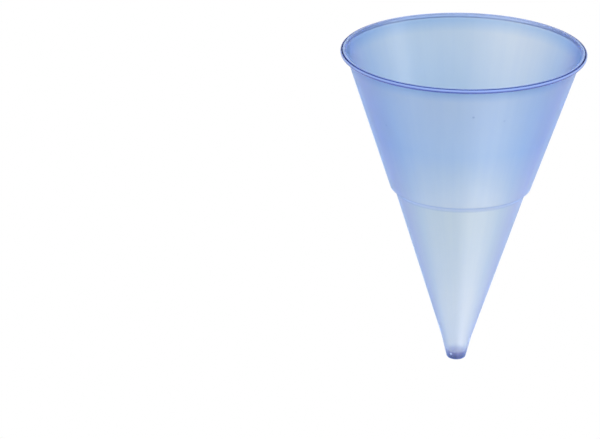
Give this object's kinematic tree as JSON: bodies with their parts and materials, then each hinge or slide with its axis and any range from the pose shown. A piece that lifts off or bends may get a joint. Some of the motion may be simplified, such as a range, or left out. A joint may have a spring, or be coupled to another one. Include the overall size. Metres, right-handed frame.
{
  "type": "plastic cone cup",
  "caption": "Cone-shaped translucent plastic drinking cup with a rolled lip, a stacking shoulder and a blunt closed tip, standing on its mouth.",
  "frame": {"origin": "centre of the mouth, at the level of the surface that the lip stands on", "axes": "+Z is the cup's axis, from the mouth up to the closed tip; +X and +Y are any two directions square to it, because the cup is round"},
  "size_m": [0.073, 0.073, 0.0974],
  "materials": {
    "frosted_polypropylene": "satin, translucent, blue tint"
  },
  "bodies": {
    "root": {"cup": "frosted_polypropylene"}
  },
  "joints": []
}
